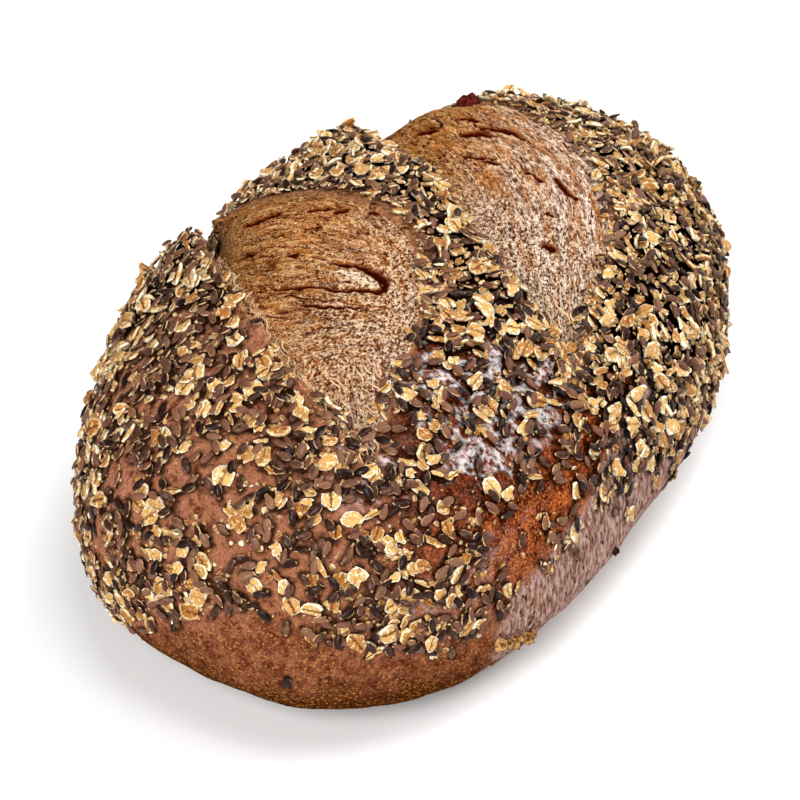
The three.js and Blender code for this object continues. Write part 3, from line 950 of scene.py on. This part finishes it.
# Where the grains are sparse: a place, how far it reaches and the share that is missing
SPARSE = (((-76, -72, 52), 26, 0.75), ((-58, -56, 86), 26, 0.4), ((14, 82, 31), 6, 1))
THIN_SPOT = ((-52, -70, 66), 26, 0.2)  # where the coating is thinner: likewise
THICKENS = (-75, 10)  # the coating thickens between these places on X, sooner to the left and on the crown
COATING_RISE = (-3, 4)  # it comes in between these heights about its lower edge
STRAY = 0.08  # share of the grains that lie below that edge, between these heights about it
STRAY_HEIGHTS = (-24, -8)
BARE_BAND = 6  # the crust beside the right edge of the first slash is bare over this width
BARE_BAND_SHARES = (0.35, 0.6)  # from between these shares of its length on
COATING_BAYS = (7, 1.5)  # size and depth of the bays in the coating's edge beside the slashes
CLUMPS = (16, 0.35, 1.3)  # size of the clumps of grains, the density between them, and what they add
LEFT_ACROSS = (-20, 25)  # what misses beside the first slash lies to the left at the near end instead
LEFT_ALONG = (-20, -60)
BESIDE_SLASH = (30, 10)  # how far beside the first slash, and from which shares of its length on
BESIDE_SHARES = (0.2, 0.4)
# Single lumps of crust and dough: a place, how wide the lump is and how pale
LUMPS = (
    ((99.6, 30.4, 65.8), 7.0, 0.27),
    ((108.7, -42, 50), 4.5, 0.5),
    ((10.3, 70, 66.5), 5.0, 0.45),
    ((-88.5, -69.5, 32), 4.2, 0.55),
    ((-85.5, -70.5, 30), 3.4, 0.65),
    ((-82, -71.5, 28.5), 4.6, 0.5),
    ((-78, -72.5, 26.5), 4.4, 0.55),
    ((-75, -73, 25.5), 3.2, 0.45),
    ((-33, -80.2, 27.5), 2.3, 0.05),
    ((-121, -1.5, 76), 1.9, 0.95),
    ((-123, -6, 73), 1.6, 0.95),
    ((-122, -9, 73), 1.2, 0.9),
    ((-124, -3, 72), 1.3, 0.95),
    ((-120, 1.5, 76), 1.2, 0.9),
    ((-119.5, -4.5, 77), 1.5, 0.95),
    ((-122.5, 2, 74), 1.0, 0.9),
)
PILE_LIMIT = 2.6  # a grain that would lie higher than this rolls off
TOUCH = 0.42  # grains touch at this share of their two lengths
TOO_CLOSE = 0.25  # and closer than this share of it there is no room
NEAR_SLASH = 8  # grains lie flatter and lower this close to a torn edge
FLAT_AT_SLASH = (0.3, 0.4)  # share that is left there of their tilts and their lifts
LOW_ON_SIDES = 0.4  # share that is left of their lifts on the steep sides
SHADE_REACH = 0.35  # a grain shades the crust below its middle and this share of its length to each side
LEAST_AREA = 1e-9
COATING_SEED = 7
SPILL = 2.2  # no grain sticks out further than this beyond the model's box


def coating_edge(points):
    """Height of the coating's lower edge."""
    degrees, heights = np.transpose(COATING_EDGE)
    edge = np.interp(np.degrees(np.arctan2(points[:, 1], points[:, 0])), degrees, heights, period=360)
    return edge + 2.5 * noise_at(points, 18, 40)


def coating_thickness(points):
    """How thick the coating is, from 0 at the near end to 1 on the crown and the far end."""
    x, y, z = points.T
    thick = smooth(*THICKENS, x + 0.2 * y + 0.2 * (z - 60))
    place, reach, share = THIN_SPOT
    thin_spot = np.exp(-((distances(points, place) / reach) ** 2))
    return np.clip(thick - share * thin_spot, -0.35, 1)


def clear_of_slashes(places, normals):
    """1 where the slashes leave the crust whole, and 0 in them and on the bare band beside the first."""
    clear = np.ones(len(places))
    for slash in SLASHES:
        share, offset = slash.place(places)
        bare_band = BARE_BAND * smooth(*BARE_BAND_SHARES, share) * (offset > 0) * (slash is SLASHES[0])
        reach = np.where(offset > 0, -OVERHANG, LEFT_MARGIN)
        reach -= (reach + FOOT_OVERHANG) * smooth(*FOOT_SHARES, share)
        size, depth = COATING_BAYS
        beyond = slash.outside(share, offset) - bare_band + depth * noise_at(places, size, 42)
        outside = smooth(reach - 0.5, reach + 0.5, beyond)
        clear *= 1 - (1 - outside) * smooth(*SLASH_STEEP, normals[:, 2])
    return clear


def coated_share(places, normals):
    """How densely the crust is coated, from 0 to 1."""
    above_edge = places[:, 2] - coating_edge(places)
    stray = STRAY * smooth(*STRAY_HEIGHTS, above_edge) * (0.2 + 0.8 * flank_share(places))
    coated = (smooth(*COATING_RISE, above_edge) + stray).clip(0, 1) * clear_of_slashes(places, normals)
    for place, reach, share in SPARSE:
        coated *= 1 - share * np.exp(-((distances(places, place) / reach) ** 2))
    for place, width, _ in LUMPS:
        coated *= smooth(0.7 * width, 1.35 * width, distances(places, place))
    return coated


class Ground:
    """The crust as the coating finds it: triangles to fall on."""

    def __init__(self, mesh, points):
        mesh.calc_loop_triangles()
        corners = np.empty(len(mesh.loop_triangles) * 3, np.int32)
        mesh.loop_triangles.foreach_get("vertices", corners)
        corners = corners.reshape(-1, 3)
        a, b, c = (points[corners[:, side]] for side in range(3))
        self.a, self.ab, self.ac = a, b - a, c - a
        cross = np.cross(self.ab, self.ac)
        self.area = np.linalg.norm(cross, axis=1) / 2
        self.normals = cross / np.maximum(2 * self.area, LEAST_AREA)[:, None]
        middle = (a + b + c) / 3
        self.coated = coated_share(middle, self.normals)
        self.thick = coating_thickness(middle)
        self.left = smooth(*LEFT_ACROSS, middle[:, 1]) * smooth(*LEFT_ALONG, middle[:, 0])
        share, offset = SLASHES[0].place(middle)
        beside = smooth(*BESIDE_SLASH, SLASHES[0].outside(share, offset))
        self.lip = beside * smooth(*BESIDE_SHARES, share) * (offset < 0)
        size, between, added = CLUMPS
        self.clumps = between + added * smooth(-0.35, 0.35, noise_at(middle, size, 41))

    def fall(self, thin, thick, draw, lip=1.0):
        """Places where grains land: points, normals, thickness. Thin and thick are numbers of grains on a
        square millimetre, and lip is the share of them that lands beside the first slash."""
        rate = self.coated * (thin + (thick - thin) * self.thick)
        rate = np.clip(rate, 0, None) * (self.clumps + (1 - self.clumps) * np.clip(self.thick, 0, 1))
        rate *= 1 + (lip - 1) * self.lip + 0.4 * (1 - lip) * self.left
        chance = np.cumsum(self.area * rate)
        chosen = np.searchsorted(chance, draw.random(int(chance[-1])) * chance[-1])
        u, v = draw.random(len(chosen)), draw.random(len(chosen))
        flip = u + v > 1
        u[flip], v[flip] = 1 - u[flip], 1 - v[flip]
        points = self.a[chosen] + u[:, None] * self.ab[chosen] + v[:, None] * self.ac[chosen]
        return points, self.normals[chosen], self.thick[chosen]


def pile(points, sizes, heights):
    """How high each grain lies on those before it, which way it leans off them, and which are kept."""
    cells = {}
    reach = sizes.max()
    lifts, leans, kept = np.zeros(len(points)), np.zeros((len(points), 3)), []
    for index, point in enumerate(points):
        i, j, k = (point // reach).astype(int)
        blocked = False
        for cell in ((i + a, j + b, k + c) for a in (-1, 0, 1) for b in (-1, 0, 1) for c in (-1, 0, 1)):
            for other in cells.get(cell, ()):
                away = point - points[other]
                gap = math.sqrt(away @ away)
                touch = TOUCH * (sizes[index] + sizes[other])
                blocked |= gap < TOO_CLOSE * touch
                if gap < touch:
                    rise = lifts[other] + heights[other] * min(1.6 * (1 - gap / touch), 1)
                    if rise > lifts[index]:
                        lifts[index] = rise
                        leans[index] = away / gap * (rise - lifts[other] * 0.5) / touch
        if not blocked and lifts[index] < PILE_LIMIT:
            cells.setdefault((i, j, k), []).append(index)
            kept.append(index)
    return lifts, leans, kept


def bases_on(normals, leans, tilts, spins, draw):
    """Bases whose third column is the normal, leaned and then tilted at random, spun about it."""
    helper = np.where(np.abs(normals[:, 2:]) < 0.9, [[0.0, 0, 1]], [[1.0, 0, 0]])
    side = unit(np.cross(normals, helper))
    front = np.cross(normals, side)
    way = draw.random(len(normals))[:, None] * 2 * np.pi
    third = unit(normals + leans + np.tan(tilts)[:, None] * (side * np.cos(way) + front * np.sin(way)))
    first = side * np.cos(spins)[:, None] + front * np.sin(spins)[:, None]
    first = unit(first - third * np.sum(first * third, axis=1, keepdims=True))
    return np.stack([first, np.cross(third, first), third], axis=2)


def scatter(name, shapes, grains, draw, finish, slot):
    """Joins one copy of a shape for each grain into a piece. Each vertex keeps its grain's tone, its place
    along and across the grain, and how clear of the crust it stands, which fades the painted shade at
    its base."""
    places, normals, bases, sizes, lifts, thick = grains
    shape_points = [positions(shape) for shape in shapes]
    chosen = draw.integers(len(shapes), size=len(places))
    tones = draw.random(len(places))
    low, high = np.array(cad_low) / METRES - SPILL, np.array(cad_high) / METRES + SPILL
    bm = bmesh.new()
    points, marks = [], []
    for index, which in enumerate(chosen):
        own = shape_points[which]
        placed = own * sizes[index] @ bases[index].T + places[index] + normals[index] * lifts[index]
        if (placed < low).any() or (placed > high).any():
            continue
        bm.from_mesh(shapes[which])
        height = (placed - places[index]) @ normals[index]
        points.append(placed)
        # the painted shade at a grain's base fades out over this height above the crust
        base_shade_height = (0.7 + 0.5 * thick[index]) * min(sizes[index] / 4, 1)
        marks.append(np.column_stack([
            np.full(len(own), tones[index]), own[:, :2] / np.abs(own[:, :2]).max(axis=0) / 2 + 0.5,
            smooth(0, base_shade_height, height),
        ]))
    mesh = mesh_from(name, bm)
    store(mesh, "grain", np.concatenate(marks))
    add_piece(name, mesh, np.concatenate(points), finish, slot)


def sizes_of(size, chance, power=1):
    """Sizes from a least one and what chance adds to it."""
    return size[0] + size[1] * chance**power


def settled(ground, draw):
    """Flakes and linseeds where they come to rest: their points, normals, thickness of the coating, sizes,
    heights, which are flakes, how high they lie and how they lean."""
    flakes = ground.fall(*FLAKES_FALL, draw, FLAKES_ON_LIP)
    linseeds = ground.fall(*LINSEEDS_FALL, draw)
    is_flake = np.repeat([True, False], [len(flakes[0]), len(linseeds[0])])
    points, normals, thick = (np.concatenate(pair) for pair in zip(flakes, linseeds))
    flake_sizes = sizes_of(FLAKE_SIZE, draw.random(len(points)), 1.5) + THIN_COATING_SIZE * (1 - thick)
    sizes = np.where(is_flake, flake_sizes, sizes_of(LINSEED_SIZE, draw.random(len(points))))
    heights = sizes * np.where(is_flake, FLAKE_THICKNESS, LINSEED_THICKNESS)
    order = np.argsort(draw.random(len(points)) - FLAKES_FIRST * is_flake)
    grains = [values[order] for values in (points, normals, thick, sizes, heights, is_flake)]
    lifts, leans, kept = pile(grains[0], grains[3], grains[4])
    return [values[kept] for values in (*grains, lifts, leans)]


def tilts_and_spins(points, normals, thick, is_flake, draw):
    """How far grains tilt and how they are spun, in radians."""
    count = len(points)
    tilts = np.abs(draw.normal(0, TILT[0] + TILT[1] * np.clip(thick, 0, 1)))
    reared = draw.random(count) < REARING[0] + REARING[1] * thick
    tilts = np.clip(tilts + reared * REARED, 0, STEEPEST_FLAKE)
    tilts *= smooth(-6, 6, points[:, 2] - coating_edge(points))
    tilts = np.minimum(tilts, np.where(is_flake, STEEPEST_FLAKE, STEEPEST_LINSEED))
    spins = draw.random(count) * 2 * np.pi
    on_sides = smooth(0.75, 0.4, normals[:, 2]) * smooth(-60, 0, points[:, 0])
    spins += on_sides * (np.pi / 2 + draw.normal(0, SPREAD_ON_SIDES, count) - spins)
    return tilts, spins


def coat(ground):
    """Scatters flakes, linseeds and crumbs. Returns the places that they shade."""
    draw = np.random.default_rng(COATING_SEED)
    points, normals, thick, sizes, heights, is_flake, lifts, leans = settled(ground, draw)
    tilts, spins = tilts_and_spins(points, normals, thick, is_flake, draw)
    for slash in SLASHES:
        away = smooth(0, NEAR_SLASH, slash.distance(points))
        tilts *= away + FLAT_AT_SLASH[0] * (1 - away)
        lifts *= away + FLAT_AT_SLASH[1] * (1 - away)
    bases = bases_on(normals, leans, tilts, spins, draw)
    lifts = lifts + heights * 0.3 + 0.25 * sizes * np.sin(tilts)
    lifts *= LOW_ON_SIDES + (1 - LOW_ON_SIDES) * smooth(0, 0.5, normals[:, 2])
    grains = points, normals, bases, sizes, lifts, thick.clip(0)
    for name, chosen, shapes, finish in (
        ("oat_flake", is_flake, FLAKE_SHAPES, flake_finish()),
        ("linseed", ~is_flake, LINSEED_SHAPES, linseed_finish()),
    ):
        scatter(name + "s", shapes, [values[chosen] for values in grains], draw, finish, name)
    scatter_crumbs(ground, draw)
    reach = bases[:, :, 0] * SHADE_REACH * sizes[:, None]
    return np.concatenate([points, points + reach, points - reach])


def scatter_crumbs(ground, draw):
    """Scatters broken bits of oat between the flakes, in the flakes' finish."""
    points, normals, thick = ground.fall(*CRUMBS_FALL, draw)
    count = len(points)
    sizes = sizes_of(CRUMB_SIZE, draw.random(count), 2)
    tilts = np.abs(draw.normal(0, 0.5, count))
    bases = bases_on(normals, np.zeros((count, 3)), tilts, draw.random(count) * CRUMB_TURN, draw)
    risen = smooth(0, 12, points[:, 2] - coating_edge(points))
    lifts = 0.1 * sizes + 1.4 * thick.clip(0) * draw.random(count) * risen
    grains = points, normals, bases, sizes, lifts, np.zeros(count)
    scatter("oat_crumbs", CRUMB_SHAPES, grains, draw, bpy.data.materials["oat_flake"], "oat_flake")


def lump_shape(seed):
    """A knobbly lump, 1 wide."""

    def move(*place):
        return Vector(place) * (1 + 0.55 * noise.noise(Vector(place) * 3.5 + Vector((seed * 4.1, 0, 0))))

    bm = bmesh.new()
    bmesh.ops.create_icosphere(bm, subdivisions=3, radius=0.5)
    return moulded(bm, move)


def build_lumps(crust_places, finish):
    bm = bmesh.new()
    points, marks = [], []
    tree = tree_of(crust_places)
    for seed, (place, width, pale) in enumerate(LUMPS):
        shape = lump_shape(seed)
        ground = np.array(tree.find(place)[0])
        outward = unit(ground * (0.5, 1, 1))
        own = positions(shape)
        bm.from_mesh(shape)
        points.append(own * (width, width, 0.9 * width) + ground + outward * width * 0.35)
        marks.append(np.column_stack([np.full(len(own), pale), own[:, :2] + 0.5, np.ones(len(own))]))
    mesh = mesh_from("lumps", bm)
    store(mesh, "grain", np.concatenate(marks))
    add_piece("lumps", mesh, np.concatenate(points), finish, "torn_crumb")


# Loose strings of torn dough: the slash, how many, and between which shares of its length and width
STRINGS = (
    (0, 260, (0.06, 0.75), (-0.01, 0.07)),
    (0, 70, (0, 0.2), (0, 1)),
    (1, 110, (0.05, 0.7), (-0.01, 0.05)),
    (1, 40, (0, 0.2), (0, 1)),
)
STRING_STEP = 0.01  # the share of the length over which the edge's direction is taken
STRING_SPIN = 0.35  # how far strings turn away from the edge, in radians
STRINGS_SEED = 9


def string_up(slash, count, shares, acrosses, seed):
    """Lays torn strings along a slash, between two shares of its length and two of its width."""
    draw = np.random.default_rng(seed)
    share = draw.uniform(*shares, count)
    across = acrosses[0] + (acrosses[1] - acrosses[0]) * draw.random(count)
    left, right = slash.widths(share)
    directions = directions_over(slash.plan(share, across * (left + right) - left))
    places, normals = crust_points(directions, -slash.torn_depth(share, across))
    widening = slash.widths(share + STRING_STEP)[0] - left
    forward = slash.along * STRING_STEP * slash.length - widening[:, None] * slash.right
    heading = np.column_stack([forward, np.zeros(count)])
    heading = unit(heading - normals * np.sum(heading * normals, axis=1, keepdims=True))
    side = np.cross(normals, heading)
    spin = draw.normal(0, STRING_SPIN, count)[:, None]
    first = heading * np.cos(spin) + side * np.sin(spin)
    bases = np.stack([first, np.cross(normals, first), normals], axis=2)
    sizes = sizes_of(STRING_SIZE, draw.random(count), 1.5)
    lifts = 0.3 + 0.3 * draw.random(count)
    return places, normals, bases, sizes, lifts, np.zeros(count)


# Where the crust's finish changes: a pair holds where a share is 0 and where it is 1
GLOSS_HEIGHTS = (-2, 16)  # above the coating's edge
GLOSS_ALONG = (-95, -40)
LEAST_GOLD = 0.25  # all of the crust is golden by this share, and wholly so low down at the near end
GOLD_HEIGHTS = (38, 6)
GOLD_ALONG = (-30, -110)
GOLD_BAND = (3.5, 1.5)  # distances from a torn edge
WIDE_GOLD_BAND = (BARE_BAND + 3, BARE_BAND - 1)  # likewise, to the right of the first slash
WIDE_BAND_SHARES = (0.3, 0.5)
BARE_HEIGHTS = (6, -6)  # about the coating's edge
SHADE_THIN = (1.9, 1.0)  # distances from a grain where the coating is thin, and what a thick one adds
SHADE_ADDED = (1.3, 0.7)
SHADE_DARKNESS = (0.87, 0.13)
WET_SIDE = (-73, -59)  # places across
# where the crust is painted paler and pinker on the left side, as a painted sheen
LEFT_SHEEN_ACROSS = (-5, 35)
LEFT_SHEEN_ALONG = (-20, -60)
DEEP_HEIGHTS = (66, 80)  # above the table
DEEP_ALONG = (45, 20)


def golden_band(points, upper_side):
    """1 on the bare crust along the torn edges."""
    share, offset = SLASHES[0].place(points)
    band = smooth(*WIDE_GOLD_BAND, SLASHES[0].outside(share, offset))
    band *= (offset > 0) * smooth(*WIDE_BAND_SHARES, share)
    for slash in SLASHES:
        band = np.maximum(band, smooth(*GOLD_BAND, slash.distance(points)))
    return band * upper_side


def grain_shade(points, shading):
    """The shade on the crust round the grains and under them."""
    tree = tree_of(shading)
    near = np.array([tree.find(place)[2] for place in points])
    thick = coating_thickness(points).clip(0)
    farthest, nearest = (thin + added * thick for thin, added in zip(SHADE_THIN, SHADE_ADDED))
    return smooth(farthest, nearest, near) * (SHADE_DARKNESS[0] + SHADE_DARKNESS[1] * thick)


def crust_zones(points, upper_side, shading):
    """Four numbers for the crust's finish: gloss, warmth, how bare it is, and the shade round the grains."""
    x, y, z = points.T
    above_edge = z - coating_edge(points)
    band = golden_band(points, upper_side)
    gloss = smooth(*GLOSS_HEIGHTS, above_edge) * smooth(*GLOSS_ALONG, x - 0.8 * y)
    gold = LEAST_GOLD + (1 - LEAST_GOLD) * smooth(*GOLD_HEIGHTS, z) * smooth(*GOLD_ALONG, x)
    shade = grain_shade(points, shading) * (1 - 0.8 * band)
    bare = smooth(*BARE_HEIGHTS, above_edge)
    return np.column_stack([gloss * (1 - band), np.maximum(gold, band), bare, shade])


def crust_skin(points):
    """Four more numbers: the flank, painted greyish partly as a painted sheen, how wet the gloss is, the
    painted sheen on the left side, and the deep red crown.
    """
    x, y, z = points.T
    flank = flank_share(points)
    wet = np.maximum(smooth(*WET_SIDE, y) * (1 - flank), 0.25 * flank)
    left_sheen = smooth(*LEFT_SHEEN_ACROSS, y) * smooth(*LEFT_SHEEN_ALONG, x)
    deep = smooth(*DEEP_HEIGHTS, z) * smooth(*DEEP_ALONG, x)
    return np.column_stack([flank, wet, left_sheen, deep])


# The stage. Its lengths are in metres, and the lens and the sensor in millimetres.

TARGET = Vector((0, 0, 0.0441))
AZIMUTH = math.radians(-64.1)
ELEVATION = math.radians(39.9)
DISTANCE = 1.642
ASIDE = Vector((-0.0042, -0.0106))  # how far the camera stands to its right and above the line to the target
LENS = 247.5
SENSOR = 36
FARTHEST = 20
FLOOR_SIZE = 6
FLOOR_SHADE = (0.9, 0.9, 0.9, 1)
WORLD_STRENGTH = 0.12
SOFTBOXES = (  # a name, a place, a size and a power
    ("softbox_behind", (0.95, -0.65, 1.05), (1.75, 1.2), 32),
    ("softbox_above", (-0.3, -0.3, 1.5), (0.6, 0.6), 8),
    ("softbox_front", (-1.2, -0.1, 0.9), (0.7, 0.7), 24),
)


def add_camera():
    back = Vector((math.sin(AZIMUTH), -math.cos(AZIMUTH), 0)) * math.cos(ELEVATION)
    back.z = math.sin(ELEVATION)
    right = Vector((math.cos(AZIMUTH), math.sin(AZIMUTH), 0))
    up = back.cross(right)
    data = bpy.data.cameras.new("camera")
    data.lens = LENS
    data.sensor_width = SENSOR
    data.clip_end = FARTHEST
    camera = add_object("camera", data)
    camera.location = TARGET + back * DISTANCE + right * ASIDE.x + up * ASIDE.y
    camera.rotation_euler = back.to_track_quat("Z", "Y").to_euler()
    bpy.context.scene.camera = camera


def add_softbox(name, place, size, power):
    data = bpy.data.lights.new(name, "AREA")
    data.shape = "RECTANGLE"
    data.size, data.size_y = size
    data.energy = power
    light = add_object(name, data)
    light.location = place
    light.rotation_euler = (Vector(place) - TARGET).to_track_quat("Z", "Y").to_euler()


def add_stage():
    bm = bmesh.new()
    bmesh.ops.create_grid(bm, x_segments=1, y_segments=1, size=FLOOR_SIZE)
    mesh = mesh_from("floor", bm)
    mesh.materials.append(Finish("pale_floor", {"Base Color": FLOOR_SHADE, "Roughness": 0.9}).material)
    add_object("floor", mesh)
    world = bpy.data.worlds.new("studio")
    world.use_nodes = True
    background = world.node_tree.nodes["Background"]
    background.inputs["Color"].default_value = (1, 1, 1, 1)
    background.inputs["Strength"].default_value = WORLD_STRENGTH
    bpy.context.scene.world = world
    for softbox in SOFTBOXES:
        add_softbox(*softbox)
    bpy.context.scene.view_settings.view_transform = "Standard"


add_camera()
add_stage()
crust_material = crust_finish()
crust, crust_places, coated_places, crust_upper = build_crust()
shading = coat(Ground(crust, coated_places))
store(crust, "zones", crust_zones(crust_places, crust_upper, shading))
store(crust, "skin", crust_skin(crust_places))
add_piece("crust", crust, crust_places, crust_material, "crust")
torn_material = torn_finish()
for number, (slash, layout, tears) in enumerate(zip(SLASHES, TORN_LAYOUTS, TEARS)):
    torn_mesh, torn_points = build_torn(slash, *layout, tears, 100 + 20 * number)
    add_piece(f"torn_face_{number + 1}", torn_mesh, torn_points, torn_material, "torn_crumb")

laid = [string_up(SLASHES[which], *where, seed) for seed, (which, *where) in enumerate(STRINGS, start=1)]
strings = [np.concatenate(values) for values in zip(*laid)]
draw_strings = np.random.default_rng(STRINGS_SEED)
scatter("torn_strings", STRING_SHAPES, strings, draw_strings, string_finish(), "torn_crumb")
build_lumps(crust_places, lump_finish())
